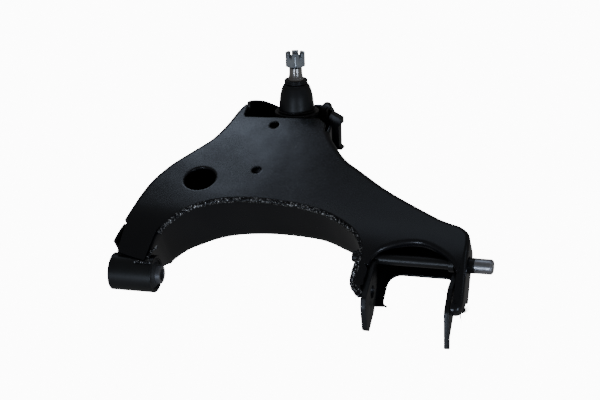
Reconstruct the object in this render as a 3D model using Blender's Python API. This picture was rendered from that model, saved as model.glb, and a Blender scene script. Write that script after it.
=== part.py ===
"""Front lower control arm of a light truck: a welded box of two steel pressings.

Millimetres until the last step of each piece, which turns them into metres.
X runs along the pivot axis, from the front bush to the rear fork.
Y runs outboard, from the pivot axis to the ball joint. Z is up.
The origin is the centre of the front bush.

The pressings are drawn flat, as seen from above, and then pressed: pressed() lays a flat
point on the curved back of the arm, and its third coordinate is the height above that
back, square to it. So every flange and web stands square to the sheet it belongs to.
"""
import bisect
import math

import bmesh
import bpy
from mathutils import Matrix, Vector

MM = 0.001
GAP = 0.3

# Slope of the arm's back, in degrees, against distance outboard of the pivot axis.
BACK_SLOPES = ((-60, 50), (-17.7, 45), (12.3, 40), (62.3, 26), (232.3, 25), (292.3, 22), (340, 22))
BACK_START = (-17.7, 17.7)

SHEET = 4.0
BEND_RADIUS = 6.5
ARCH_BEND_RADIUS = 4.5
BOX_DEPTH = 62.0
WEB_GROWTH = 0.076
OVERLAP_TOP = 24.0
ROW_STEP = 22.0

BUSH_TUBE_RADIUS = 25.0
BUSH_TUBE_BORE = 21.5
BUSH_TUBE_ENDS = (-34.0, 27.0)
BUSH_SLEEVE_RADIUS = 12.5
BUSH_BOLT_HOLE = 7.25
BUSH_SLEEVE_ENDS = (-38.0, 35.0)

PIVOT_PLATE = 7.5
PIVOT_BOLT_HOLE = 8.25
LEFT_PLATE_X = 318.8
RIGHT_PLATE_X = 430.0

PIN_CENTRE = (30.0, 35.5)
PIN_SHANK = 7.5
PIN_END = 10.3
PIN_X = (291.5, 479.5)

BALL_CENTRE = (145.0, 264.0, 137.0)
BALL_RADIUS = 17.0
HOUSING_RADIUS = 25.0
COLLAR_RADIUS = 30.0
RING_RADIUS = 31.0
RING_Z = 158.0
BOOT_TOP_Z = 203.0
NUT_Z = (222.5, 241.5)
NUT_ACROSS_FLATS = 27.0
STUD_TIP_Z = 234.0
STUD_THREAD_RADIUS = 9.0

BLACK_PAINT = ((0.022, 0.023, 0.026), 0.42, 0.0)
WELD_STEEL = ((0.055, 0.057, 0.062), 0.38, 0.5)
BRIGHT_STEEL = ((0.42, 0.42, 0.43), 0.32, 1.0)
ZINC = ((0.62, 0.66, 0.72), 0.36, 1.0)
RUBBER = ((0.018, 0.018, 0.02), 0.62, 0.0)
NYLON = ((0.75, 0.74, 0.68), 0.5, 0.0)


def clear_scene():
    for item in list(bpy.data.objects):
        bpy.data.objects.remove(item, do_unlink=True)


# ---------------------------------------------------------------- the arm's curved back

def slope_at(y):
    """Slope of the back in radians, straight between the listed stations."""
    for (y0, s0), (y1, s1) in zip(BACK_SLOPES, BACK_SLOPES[1:]):
        if y <= y1:
            return math.radians(s0 + (s1 - s0) * (y - y0) / (y1 - y0))
    return math.radians(BACK_SLOPES[-1][1])


def back_heights():
    """Heights of the back every millimetre, added up from its slope."""
    low, high = BACK_SLOPES[0][0], BACK_SLOPES[-1][0]
    stations = list(range(low, high + 1))
    heights = [0.0]
    for y in stations[:-1]:
        heights.append(heights[-1] + math.tan(slope_at(y + 0.5)))
    start = BACK_START[0] - low
    whole = int(start)
    at_start = heights[whole] + (heights[whole + 1] - heights[whole]) * (start - whole)
    return stations, [h - at_start + BACK_START[1] for h in heights]


STATIONS, HEIGHTS = back_heights()


def height_at(y):
    k = min(max(bisect.bisect_right(STATIONS, y) - 1, 0), len(STATIONS) - 2)
    return HEIGHTS[k] + (HEIGHTS[k + 1] - HEIGHTS[k]) * (y - STATIONS[k])


def pressed(x, y, z):
    """The place, in millimetres, of a flat point: z is its height square to the back."""
    slope = slope_at(y)
    return Vector((x, y - z * math.sin(slope), height_at(y) + z * math.cos(slope)))


# ---------------------------------------------------------------- outlines

def smooth(points, steps=5, closed=False):
    """Catmull-Rom curve through the points."""
    count = len(points)
    result = []
    for i in range(count if closed else count - 1):
        if closed:
            a, b, c, d = (Vector(points[(i + k) % count]) for k in (-1, 0, 1, 2))
        else:
            b, c = Vector(points[i]), Vector(points[i + 1])
            a = Vector(points[i - 1]) if i else b * 2 - c
            d = Vector(points[i + 2]) if i + 2 < count else c * 2 - b
        for k in range(steps):
            t = k / steps
            result.append(0.5 * (2 * b + (c - a) * t + (2 * a - 5 * b + 4 * c - d) * t * t
                                 + (3 * b - a - 3 * c + d) * t ** 3))
    if not closed:
        result.append(Vector(points[-1]))
    return [tuple(p) for p in result]


def rounded(points, radii, steps=5):
    """Closed polygon whose corners are turned into arcs of the given radii."""
    result = []
    count = len(points)
    for i, radius in enumerate(radii):
        corner = Vector(points[i])
        to_last = (Vector(points[i - 1]) - corner).normalized()
        to_next = (Vector(points[(i + 1) % count]) - corner).normalized()
        if radius <= 0:
            result.append(tuple(corner))
            continue
        half = to_last.angle(to_next) / 2
        centre = corner + (to_last + to_next).normalized() * radius / math.sin(half)
        first = corner + to_last * radius / math.tan(half) - centre
        last = corner + to_next * radius / math.tan(half) - centre
        turn = first.angle_signed(last)
        for k in range(steps + 1):
            angle = -turn * k / steps
            spun = Matrix.Rotation(angle, 2) @ first
            result.append(tuple(centre + spun))
    return result


def side_normals(path):
    """Normals to the right of an open path, square to the mean of the two runs that meet."""
    result = []
    for i in range(len(path)):
        before = Vector(path[i]) - Vector(path[max(i - 1, 0)])
        after = Vector(path[min(i + 1, len(path) - 1)]) - Vector(path[i])
        run = before.normalized() + after.normalized()
        result.append(Vector((run.y, -run.x)).normalized())
    return result


def offset_path(path, distance):
    """The path moved to its right by a distance."""
    return [tuple(Vector(p) + n * distance) for p, n in zip(path, side_normals(path))]


LEFT_EDGE = smooth(((72, 252), (66, 237), (58, 210), (46, 184), (25, 159), (3, 133), (-14, 103),
                    (-22, 76), (-25, 60), (-28, 46), (-30.5, 36)), 2)
RIGHT_EDGE = smooth(((438.5, -37.5), (445, -37.5), (450.5, -34.5), (453, -28), (451.5, -10), (448.5, 18),
                     (446.5, 38), (442, 53), (429, 63), (410, 69), (388, 78), (320, 113), (271, 145), (243, 165), (217, 195), (207, 211)), 2)
INNER_ARC = smooth(((17, 4), (20, 21), (27, 31), (49, 56), (81, 74), (120, 82), (173, 82),
                    (236, 72), (282, 50), (303, 29), (309, 10), (307, -17)), 3)
WEB_PATH = smooth(((20.5, -6), (20.5, 6), (22.5, 19), (28, 31), (49, 56), (81, 74), (120, 82), (173, 82),
                   (236, 72), (282, 50), (303, 29), (309, 10), (307, -17)), 3)
FORK_ARCH = smooth(((320, -16), (320, -1), (323, 11), (335, 22), (360, 31), (387, 32), (414, 22),
                    (431, 10), (438, -1), (440, -20), (441, -37)), 2)


# ---------------------------------------------------------------- solids

def object_from(bm, name, material):
    """Make a named object, in metres, from a bmesh in millimetres."""
    for vertex in bm.verts:
        vertex.co *= MM
    mesh = bpy.data.meshes.new(name)
    bm.to_mesh(mesh)
    bm.free()
    item = bpy.data.objects.new(name, mesh)
    bpy.context.scene.collection.objects.link(item)
    if material:
        mesh.materials.append(material_named(material))
    mesh.shade_smooth()
    mesh.set_sharp_from_angle(angle=math.radians(32))
    return item


MATERIALS = {
    "black_paint": BLACK_PAINT,
    "weld_steel": WELD_STEEL,
    "bright_steel": BRIGHT_STEEL,
    "zinc": ZINC,
    "rubber": RUBBER,
    "nylon": NYLON,
}


def material_named(name):
    found = bpy.data.materials.get(name)
    if found:
        return found
    colour, roughness, metallic = MATERIALS[name]
    made = bpy.data.materials.new(name)
    made.use_nodes = True
    shader = made.node_tree.nodes["Principled BSDF"]
    shader.inputs["Base Color"].default_value = (*colour, 1)
    shader.inputs["Roughness"].default_value = roughness
    shader.inputs["Metallic"].default_value = metallic
    return made


def cut(item, cutter):
    """Take a cutter's shape out of an object."""
    cutter.hide_render = True
    cutter.display_type = "WIRE"
    modifier = item.modifiers.new("cut_" + cutter.name, "BOOLEAN")
    modifier.operation = "DIFFERENCE"
    modifier.object = cutter


def split_rows(bm):
    """Cut flat geometry into rows, so that it can follow the back's curve."""
    low = min(v.co.y for v in bm.verts)
    high = max(v.co.y for v in bm.verts)
    y = math.floor(low / ROW_STEP) * ROW_STEP
    while y < high:
        everything = bm.verts[:] + bm.edges[:] + bm.faces[:]
        bmesh.ops.bisect_plane(bm, geom=everything, dist=0.0001, plane_co=(0, y, 0), plane_no=(0, 1, 0))
        y += ROW_STEP


def press(bm):
    for vertex in bm.verts:
        vertex.co = pressed(*vertex.co)


def pressing(name, runs, level, upward):
    """A sheet pressing with flanges.

    runs go round the sheet anticlockwise: each is a path, the radius of its bend, and its
    flange's depth as a function of the flat place. A plain cut edge has a radius of 0. level is
    the height of the sheet's outer face; upward is 1 for flanges that stand up, -1 for down.
    """
    bm = bmesh.new()
    sheet_loop = []
    for path, radius, depth in runs:
        if radius == 0:
            sheet_loop += [bm.verts.new((x, y, level)) for x, y in path]
            continue
        normals = side_normals(path)
        rows = []
        for angle in (0, 45, 90):
            out = radius * (math.sin(math.radians(angle)) - 1)
            lift = radius * (1 - math.cos(math.radians(angle)))
            rows.append([bm.verts.new((x + n.x * out, y + n.y * out, level + upward * lift))
                         for (x, y), n in zip(path, normals)])
        rows.append([bm.verts.new((x, y, level + upward * depth(x, y))) for x, y in path])
        sheet_loop += rows[0]
        for upper, lower in zip(rows, rows[1:]):
            for k in range(len(path) - 1):
                bm.faces.new((upper[k], lower[k], lower[k + 1], upper[k + 1]))
    bm.faces.new(sheet_loop)
    split_rows(bm)
    press(bm)
    bmesh.ops.triangulate(bm, faces=[f for f in bm.faces if len(f.verts) > 4])
    bmesh.ops.recalc_face_normals(bm, faces=bm.faces)
    top = max(bm.faces, key=lambda face: face.calc_area())
    if (top.normal.z > 0) == (upward > 0):
        bmesh.ops.reverse_faces(bm, faces=bm.faces)
    item = object_from(bm, name, "black_paint")
    solidify = item.modifiers.new("sheet", "SOLIDIFY")
    solidify.thickness = SHEET * MM
    solidify.offset = -1
    solidify.use_even_offset = True
    return item


def prism(name, outline, low, high, material, matrix):
    """A flat outline given thickness along Z, then placed by a matrix."""
    bm = bmesh.new()
    base = bm.faces.new([bm.verts.new((x, y, low)) for x, y in outline])
    grown = bmesh.ops.extrude_face_region(bm, geom=[base])
    moved = [v for v in grown["geom"] if isinstance(v, bmesh.types.BMVert)]
    bmesh.ops.translate(bm, verts=moved, vec=(0, 0, high - low))
    bmesh.ops.transform(bm, matrix=matrix, verts=bm.verts)
    bmesh.ops.recalc_face_normals(bm, faces=bm.faces)
    return object_from(bm, name, material)


def ribbon(name, path, section, material):
    """A closed section swept along a flat path, then pressed.

    section gives, for a flat place, the points (distance to the path's right, height off the back).
    """
    bm = bmesh.new()
    rings = []
    for (x, y), n in zip(path, side_normals(path)):
        rings.append([bm.verts.new(pressed(x + n.x * d, y + n.y * d, z)) for d, z in section(x, y)])
    for a, b in zip(rings, rings[1:]):
        for k in range(len(a)):
            bm.faces.new((a[k], a[(k + 1) % len(a)], b[(k + 1) % len(a)], b[k]))
    bm.faces.new(rings[0])
    bm.faces.new(rings[-1])
    bmesh.ops.recalc_face_normals(bm, faces=bm.faces)
    return object_from(bm, name, material)


def turned(name, profile, material, sides, matrix):
    """A closed (radius, height) profile turned about Z, then placed by a matrix."""
    bm = bmesh.new()
    rings = []
    for radius, height in profile:
        if radius == 0:
            rings.append([bm.verts.new((0, 0, height))])
        else:
            rings.append([bm.verts.new((radius * math.cos(math.tau * k / sides),
                                        radius * math.sin(math.tau * k / sides), height))
                          for k in range(sides)])
    for a, b in zip(rings, rings[1:] + rings[:1]):
        for k in range(sides):
            corners = [a[k % len(a)], a[(k + 1) % len(a)], b[(k + 1) % len(b)], b[k % len(b)]]
            corners = list(dict.fromkeys(corners))
            if len(corners) > 2:
                bm.faces.new(corners)
    bmesh.ops.transform(bm, matrix=matrix, verts=bm.verts)
    bmesh.ops.recalc_face_normals(bm, faces=bm.faces)
    return object_from(bm, name, material)


PIVOT_AXIS = Matrix.Rotation(math.radians(90), 4, "Y")
BALL_AXIS = Matrix.Translation((BALL_CENTRE[0], BALL_CENTRE[1], 0))
PIN_AXIS = Matrix.Translation((0, PIN_CENTRE[0], PIN_CENTRE[1])) @ PIVOT_AXIS


def bar(name, radius, low, high, matrix, material=None, sides=24):
    """A plain round bar between two heights."""
    return turned(name, ((0, low), (radius, low), (radius, high), (0, high)), material, sides, matrix)


def tube(name, outer, inner, low, high, matrix, material, sides=24):
    """A plain round tube between two heights."""
    profile = ((outer, low), (outer, high), (inner, high), (inner, low))
    return turned(name, profile, material, sides, matrix)


# ---------------------------------------------------------------- the pressed box

def make_upper_shell():
    """The broad top pressing, from the bush leg to the plate's cut end and the fork's ears."""
    arch = [p for p in FORK_ARCH if p[1] > 2]

    def side_depth(x, y):
        ear = min(max((x - 400) / 30, 0), 1)
        return 38 - ear * (4 + 0.36 * max(10 - y, 0))

    def arch_depth(x, y):
        return 10 - 3 * min(max((abs(x - 380) - 25) / 25, 0), 1)

    runs = (
        ([(-26, -5), (15, -13)], 0, None),
        (INNER_ARC, 0, None),
        ([(313, -21), (319, -19), (320, -2)], 0, None),
        (arch, ARCH_BEND_RADIUS, arch_depth),
        ([(438, -1), (440, -20)], 0, None),
        (RIGHT_EDGE, BEND_RADIUS, side_depth),
        ([(199, 222), (188, 231), (82, 226.5), (79, 231), (79, 246)], 0, None),
        (LEFT_EDGE, BEND_RADIUS, side_depth),
        ([(-25, 31)], 0, None),
    )
    shell = pressing("upper_shell", runs, 0, -1)
    cut(shell, bar("leg_cutter", BUSH_TUBE_RADIUS + GAP, -60, 60, PIVOT_AXIS))
    for name, x, y, radius in (("big", 53.7, 110, 21.5), ("mid", 128, 131, 6.5), ("end", 128, 214, 6.5)):
        square = Matrix.Translation(pressed(x, y, 0)) @ Matrix.Rotation(slope_at(y), 4, "X")
        cut(shell, bar(name + "_hole_cutter", radius, -12, 12, square))
    cut(shell, bar("upper_pin_cutter", PIN_END + 1, 400, 500, PIN_AXIS))


# Heights of the tray's wall, against the direction, in degrees, from a place beside the ball joint.
FAR_WALL_CENTRE = (135, 240)
FAR_WALL = ((0, 38), (36, 36), (62, 34), (75, 26), (119, 25), (128, 31), (136, 37.5), (144.5, 43), (158, 52),
            (169, 57), (176, 52), (180, 38))
LEG_TAB_HEIGHT = 57.0


def between(stations, x):
    """Straight between the listed (x, value) stations."""
    for (x0, v0), (x1, v1) in zip(stations, stations[1:]):
        if x <= x1:
            return v0 + (v1 - v0) * (x - x0) / (x1 - x0)
    return stations[-1][1]


def make_lower_shell():
    """The bottom pressing: a tray whose wall runs inside the top's flange, round the ball joint."""
    inset = SHEET + 3 * GAP
    right = offset_path([p for p in RIGHT_EDGE if p[1] > -12], -inset)
    left = offset_path(LEFT_EDGE, -inset)
    outer_end = smooth((right[-1], (200.5, 217), (199, 231), (198, 258), (190, 281), (170, 288),
                        (133, 288.5), (97, 288), (79, 280), (71, 266), left[0]), 2)
    wall = right[:-1] + outer_end[:-1] + left + [(-30, 30.5), (-34, 20), (-37.5, 8)]

    def wall_height(x, y):
        if y < 33 and x < 0:
            return LEG_TAB_HEIGHT
        if y < FAR_WALL_CENTRE[1]:
            return BOX_DEPTH - OVERLAP_TOP
        return between(FAR_WALL, math.degrees(math.atan2(y - FAR_WALL_CENTRE[1], x - FAR_WALL_CENTRE[0])))

    inner = offset_path([p for p in INNER_ARC if p[0] > 19], -inset - 1)
    runs = (
        ([(-24, 10), (8, 12)], 0, None),
        (inner, 0, None),
        ([(304, -20), (324, -22)], 0, None),
        (rounded(((333, -21), (334, 20), (428, 20), (428, -12)), (6, 18, 18, 0)), 0, None),
        ([(438, -12)], 0, None),
        (wall, BEND_RADIUS, wall_height),
    )
    shell = pressing("lower_shell", runs, -BOX_DEPTH, 1)
    cut(shell, bar("collar_cutter", COLLAR_RADIUS + GAP, 60, 200, BALL_AXIS))
    cut(shell, bar("lower_pin_cutter", PIN_END + 1, 400, 500, PIN_AXIS))


def make_inner_web():
    """The bent strip that closes the box along the arm's inner arc."""
    top = -SHEET - GAP

    def section(x, y):
        depth = BOX_DEPTH + WEB_GROWTH * min(max(230 - x, 0), 210)
        depth -= 1.2 * max(20 - y, 0) if x < 100 else 0
        return (0, top), (-SHEET, top), (-SHEET, -depth), (0, -depth)

    web = ribbon("inner_web", WEB_PATH, section, "black_paint")
    cut(web, bar("web_tube_cutter", BUSH_TUBE_RADIUS + GAP, -60, 60, PIVOT_AXIS))
    cut(web, bar("web_pin_cutter", PIN_SHANK + GAP, 280, 330, PIN_AXIS))


def make_welds():
    """Weld beads along the inner arc and the left ear, across the leg, and by the pivot plates."""
    half_round = [(GAP + 4.3 * math.cos(math.radians(a)), -4.2 + 4.6 * math.sin(math.radians(a)))
                  for a in range(90, -91, -30)]
    seam = [p for p in WEB_PATH if p[0] > 24]
    bead = ribbon("inner_arc_weld", seam, lambda x, y: half_round, "weld_steel")
    cut(bead, bar("bead_pin_cutter", 13, 280, 330, PIN_AXIS))
    leg_bead = [(BUSH_TUBE_RADIUS + GAP + 2.2, -1.5), (BUSH_TUBE_RADIUS + GAP + 2.4, 1.0),
                (BUSH_TUBE_RADIUS + GAP + 0.2, 3.2), (BUSH_TUBE_RADIUS + GAP, -1.5)]
    turn = math.radians(128)
    along = Vector((0, math.cos(turn), math.sin(turn)))
    across = Vector((0, -along.z, along.y))
    bm = bmesh.new()
    rings = [[bm.verts.new(Vector((x, 0, 0)) + along * r + across * s) for r, s in leg_bead]
             for x in (-24, 12)]
    for k in range(4):
        bm.faces.new((rings[0][k], rings[0][(k + 1) % 4], rings[1][(k + 1) % 4], rings[1][k]))
    bm.faces.new(rings[0])
    bm.faces.new(rings[1])
    bmesh.ops.recalc_face_normals(bm, faces=bm.faces)
    object_from(bm, "bush_leg_weld", "weld_steel")


# ---------------------------------------------------------------- front bush

def make_front_bush():
    """A steel tube with a pressed-in rubber bush, whose inner sleeve takes the pivot bolt."""
    low, high = BUSH_TUBE_ENDS
    tube("bush_tube", BUSH_TUBE_RADIUS, BUSH_TUBE_BORE, low, high, PIVOT_AXIS, "black_paint", 32)
    outer = BUSH_TUBE_BORE - GAP
    inner = outer - 1.6
    tube("bush_outer_sleeve", outer, inner, low + 0.5, high - 0.5, PIVOT_AXIS, "black_paint", 32)
    core = BUSH_SLEEVE_RADIUS + GAP
    face = high + 2.0
    back = low - 2.0
    rubber = ((inner - GAP, low + 2), (inner - GAP, high - 2), (inner - 3.5, high - 2.5),
              (core + 2.2, face), (core, face), (core, back), (core + 2.2, back), (inner - 3.5, low + 2.5))
    turned("bush_rubber", rubber, "rubber", 32, PIVOT_AXIS)
    tube("bush_inner_sleeve", BUSH_SLEEVE_RADIUS, BUSH_BOLT_HOLE, *BUSH_SLEEVE_ENDS, PIVOT_AXIS,
         "bright_steel", 32)


# ---------------------------------------------------------------- rear fork

def make_pivot_plates():
    """Two thick plates inside the fork's ears, each with a hole for the rear pivot bolt."""
    turn = Matrix(((0, 0, 1, 0), (1, 0, 0, 0), (0, 1, 0, 0), (0, 0, 0, 1)))
    left = rounded(((-14, 14.5), (16, 36.5), (21.5, 36.5), (24, 6), (8, -29), (-18, -48.5), (-29, -43), (-35, -10),
                    (-32, 3)), (3, 4, 1, 20, 6, 2, 7, 16, 6), 3)
    right = rounded(((-14, 19), (16, 30), (24, 6), (12, -14), (-12, -19), (-32, -41), (-33, -57), (-37.5, -56),
                     (-36, -6)), (3, 5, 10, 6, 8, 6, 1.5, 1.5, 10), 3)
    for name, outline, x in (("left_pivot_plate", left, LEFT_PLATE_X), ("right_pivot_plate", right, RIGHT_PLATE_X)):
        plate = prism(name, outline, x, x + PIVOT_PLATE, "black_paint", turn)
        cut(plate, bar(name + "_cutter", PIVOT_BOLT_HOLE, x - 10, x + 20, PIVOT_AXIS))
        cut(plate, bar(name + "_pin_cutter", PIN_SHANK + GAP, x - 10, x + 20, PIN_AXIS))


def make_cross_pin():
    """The pin across the fork, with its stepped head, its collar and its bare outer end."""
    head_end, tip = PIN_X
    step = 441.0
    profile = ((0, head_end), (6.4, head_end), (7.4, head_end + 1.5), (7.4, head_end + 6), (9.5, head_end + 6),
               (9.5, head_end + 11), (PIN_SHANK, head_end + 11), (PIN_SHANK, step),
               (PIN_END, step), (PIN_END, tip - 1.5), (PIN_END - 1.5, tip), (0, tip))
    turned("cross_pin", profile, "zinc", 24, PIN_AXIS)
    right = RIGHT_PLATE_X
    tube("cross_pin_collar", 10.5, PIN_SHANK + GAP, right - 8 - GAP, right - GAP, PIN_AXIS, "black_paint")


# ---------------------------------------------------------------- ball joint

def make_ball_joint():
    """Housing, seats, spring, cap and rings, the stud with its castle nut, and the rubber boot."""
    middle = BALL_CENTRE[2]
    ring = RING_Z
    tube("ball_joint_collar", COLLAR_RADIUS, HOUSING_RADIUS + GAP, 98, ring - 3 - GAP, BALL_AXIS,
         "black_paint", 32)
    bore = 20.0
    mouth = 17.5
    base = middle - 27
    housing = ((HOUSING_RADIUS, base), (HOUSING_RADIUS, ring - 3), (RING_RADIUS, ring - 3), (RING_RADIUS, ring),
               (mouth, ring), (mouth, middle + 15), (bore, middle + 12), (bore, base))
    turned("ball_joint_housing", housing, "black_paint", 32, BALL_AXIS)

    cup = BALL_RADIUS + 0.5
    wall = bore - GAP
    upper = [(cup * math.cos(math.radians(a)), middle + cup * math.sin(math.radians(a))) for a in (2, 12, 22, 32)]
    seat_top = middle + 11.7
    upper_seat = [(wall, upper[0][1])] + upper + [(mouth - 2.3, seat_top), (wall, seat_top)]
    turned("upper_ball_seat", upper_seat, "nylon", 24, BALL_AXIS)
    lower = [(cup * math.cos(math.radians(a)), middle + cup * math.sin(math.radians(a)))
             for a in (-2, -20, -38, -56)]
    lower_seat = lower + [(lower[-1][0], middle - 17), (wall, middle - 17), (wall, lower[0][1])]
    turned("lower_ball_seat", lower_seat, "nylon", 24, BALL_AXIS)
    spring = ((8, middle - 19.5), (17, middle - 18.3), (17, middle - 17.3), (8, middle - 18.5))
    turned("preload_spring", spring, "bright_steel", 24, BALL_AXIS)
    cap = ((0, middle - 24), (wall, middle - 24), (wall, middle - 20.5), (16, middle - 20.5), (14, middle - 22),
           (0, middle - 22))
    turned("bottom_cap", cap, "zinc", 24, BALL_AXIS)
    tube("snap_ring", wall, wall - 3, middle - 26, middle - 24 - GAP, BALL_AXIS, "bright_steel")

    neck = 8.0
    top = BOOT_TOP_Z
    ball = [(BALL_RADIUS * math.cos(math.radians(a)), middle + BALL_RADIUS * math.sin(math.radians(a)))
            for a in range(-75, 46, 15)]
    stud = [(0, ball[0][1])] + ball + [(neck, middle + 15), (neck, middle + 41), (10.6, middle + 51),
                                       (11.2, top - 3), (11.2, top), (10.2, top + 3), (9.3, top + 7),
                                       (9, NUT_Z[0] - 3), (STUD_THREAD_RADIUS - 0.6, NUT_Z[0] - 1),
                                       (STUD_THREAD_RADIUS - 0.6, STUD_TIP_Z - 1.5),
                                       (STUD_THREAD_RADIUS - 2, STUD_TIP_Z), (0, STUD_TIP_Z)]
    turned("ball_stud", stud, "bright_steel", 24, BALL_AXIS)
    make_castle_nut()

    outside = ((24.3, ring + 3.2), (24.6, ring + 4.5), (24.5, ring + 7), (24, ring + 12), (23.2, ring + 19),
               (22.2, ring + 25), (20.4, ring + 31.5), (18.3, ring + 36.5), (15.6, top - 6))
    inside = [(r - 2.2, z - 0.6) for r, z in reversed(outside[1:])]
    boot = [(20.5, ring + GAP), (24.3, ring + GAP)] + list(outside) + inside
    turned("dust_boot", boot, "rubber", 24, BALL_AXIS)
    tube("boot_clip_ring", 26.2, 24.3 + GAP, ring + GAP, ring + 2.8, BALL_AXIS, "bright_steel")
    lip = ((11.6, top - 5.5), (16.1, top - 5.5), (16.3, top - 4), (16.3, top - 1), (15.6, top), (11.6, top))
    turned("boot_top_ring", lip, "rubber", 24, BALL_AXIS)


def make_castle_nut():
    """Hexagon nut whose upper part is cut by six slots for a split pin."""
    low, high = NUT_Z
    slot_floor = high - 7
    corner = NUT_ACROSS_FLATS / 2 / math.cos(math.radians(30))
    turn = Matrix.Rotation(math.radians(-90 + 18), 4, "Z")
    nut = turned("castle_nut", ((corner, low), (corner, high), (STUD_THREAD_RADIUS - 0.3, high),
                                (STUD_THREAD_RADIUS - 0.3, low)), "zinc", 6, BALL_AXIS @ turn)
    cut(nut, bar("thread_cutter", STUD_THREAD_RADIUS, low - 5, high + 5, BALL_AXIS))
    for k in range(3):
        flat = Matrix.Rotation(math.radians(30 + 60 * k), 4, "Z")
        outline = ((-20, -2), (20, -2), (20, 2), (-20, 2))
        slot = prism(f"slot_cutter_{k}", outline, slot_floor, high + 5, None, BALL_AXIS @ turn @ flat)
        cut(nut, slot)


# ---------------------------------------------------------------- small brackets

def make_brackets():
    """The curled hose tab and the steering stop, beside the ball joint."""
    turn = Matrix(((1, 0, 0, 0), (0, 0, -1, 0), (0, 1, 0, 0), (0, 0, 0, 1)))
    stop = rounded(((202, 165), (217, 157), (217, 149), (213.5, 146), (213.5, 117), (217, 115), (217, 112),
                    (202.8, 112), (202.8, 145), (198.8, 157)), (1.5, 2, 2, 2, 1, 1, 1, 1, 2, 1.5), 2)
    prism("steering_stop", stop, -252, -238, "black_paint", turn)
    curl = [(188 + 7 * math.cos(math.radians(a)), 164 + 7 * math.sin(math.radians(a))) for a in range(0, 181, 20)]
    tab = [(181, 114), (189, 114), (189, 162.5), (190.2, 164), (191.4, 162.5), (191.4, 160.5), (194.3, 160.5)] + curl
    prism("hose_tab", tab, -271, -262, "black_paint", turn)


clear_scene()
make_upper_shell()
make_lower_shell()
make_inner_web()
make_welds()
make_front_bush()
make_pivot_plates()
make_cross_pin()
make_ball_joint()
make_brackets()
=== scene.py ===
"""Looks of a pressed-steel lower control arm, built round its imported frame.

Pieces are drawn in millimetres, in the frame's own axes: X along the pivot axis from the front
bush to the rear fork, Y outboard to the ball joint, Z up, with the front bush at the origin.
"""
import bisect
import math

import bmesh
import bpy
from mathutils import Matrix, Vector, geometry, kdtree


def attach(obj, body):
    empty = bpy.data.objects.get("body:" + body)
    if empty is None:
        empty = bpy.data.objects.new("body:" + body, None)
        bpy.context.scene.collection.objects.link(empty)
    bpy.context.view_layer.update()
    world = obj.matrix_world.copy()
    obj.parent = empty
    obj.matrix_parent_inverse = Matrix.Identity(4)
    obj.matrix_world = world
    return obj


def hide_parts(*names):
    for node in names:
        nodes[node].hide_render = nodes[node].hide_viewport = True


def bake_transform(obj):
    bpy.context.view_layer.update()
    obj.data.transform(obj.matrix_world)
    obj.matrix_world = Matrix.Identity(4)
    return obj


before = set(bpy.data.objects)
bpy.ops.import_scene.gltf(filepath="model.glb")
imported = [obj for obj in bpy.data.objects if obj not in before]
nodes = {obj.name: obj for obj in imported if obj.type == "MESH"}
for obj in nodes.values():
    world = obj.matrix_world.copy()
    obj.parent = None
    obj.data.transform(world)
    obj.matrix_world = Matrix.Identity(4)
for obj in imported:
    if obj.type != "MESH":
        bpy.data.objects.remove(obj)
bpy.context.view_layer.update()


# ---------------------------------------------------------------- studio
# A white floor well below the arm and a white surround. A soft panel hangs above and behind, one
# over the middle and a narrow strip to the right, and two upright panels stand low in front.

view_turn = math.radians(18)
view_rise = math.radians(18.5)
view_roll = math.radians(1.8)
view_distance = 3.34
view_target = Vector((0.2003, 0.0951, 0.0853))

camera = bpy.data.objects.new("camera", bpy.data.cameras.new("camera"))
camera.data.lens = 150
camera.data.sensor_width = 36
towards_camera = Vector((math.sin(view_turn) * math.cos(view_rise),
                         -math.cos(view_turn) * math.cos(view_rise), math.sin(view_rise)))
facing = towards_camera.to_track_quat("Z", "Y").to_matrix().to_4x4()
camera.matrix_world = (Matrix.Translation(view_target + towards_camera * view_distance) @ facing
                       @ Matrix.Rotation(-view_roll, 4, "Z"))
bpy.context.scene.collection.objects.link(camera)
bpy.context.scene.camera = camera


def seen_or_lit(tree, seen, lit, white):
    """Emission that is bright to the camera and dimmer as a light on the arm."""
    path = tree.nodes.new("ShaderNodeLightPath")
    strength = tree.nodes.new("ShaderNodeMapRange")
    tree.links.new(path.outputs["Is Camera Ray"], strength.inputs["Value"])
    strength.inputs["To Min"].default_value = lit
    strength.inputs["To Max"].default_value = seen
    tree.links.new(strength.outputs["Result"], white.inputs["Strength"])


floor_mesh = bpy.data.meshes.new("floor")
floor_mesh.from_pydata([(-30, -30, -0.42), (30, -30, -0.42), (30, 30, -0.42), (-30, 30, -0.42)], [],
                       [(0, 1, 2, 3)])
studio_floor = bpy.data.objects.new("floor", floor_mesh)
bpy.context.scene.collection.objects.link(studio_floor)
floor_paint = bpy.data.materials.new("pale_floor")
floor_paint.use_nodes = True
floor_tree = floor_paint.node_tree
floor_tree.nodes.remove(floor_tree.nodes["Principled BSDF"])
floor_glow = floor_tree.nodes.new("ShaderNodeEmission")
floor_tree.links.new(floor_glow.outputs["Emission"], floor_tree.nodes["Material Output"].inputs["Surface"])
seen_or_lit(floor_tree, 12.0, 0.15, floor_glow)
floor_mesh.materials.append(floor_paint)

surround = bpy.data.worlds.new("surround")
bpy.context.scene.world = surround
surround.use_nodes = True
surround.node_tree.nodes["Background"].inputs["Color"].default_value = (1, 1, 1, 1)
seen_or_lit(surround.node_tree, 12.0, 0.1, surround.node_tree.nodes["Background"])


def soft_light(name, place, aim, width, height, power):
    """A rectangular panel of light that faces a point."""
    light = bpy.data.lights.new(name, "AREA")
    light.shape = "RECTANGLE"
    light.size = width
    light.size_y = height
    light.energy = power
    light.color = (0.68, 0.8, 1.0)
    lamp = bpy.data.objects.new(name, light)
    lamp.location = place
    lamp.rotation_euler = (Vector(place) - Vector(aim)).to_track_quat("Z", "Y").to_euler()
    bpy.context.scene.collection.objects.link(lamp)


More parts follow.
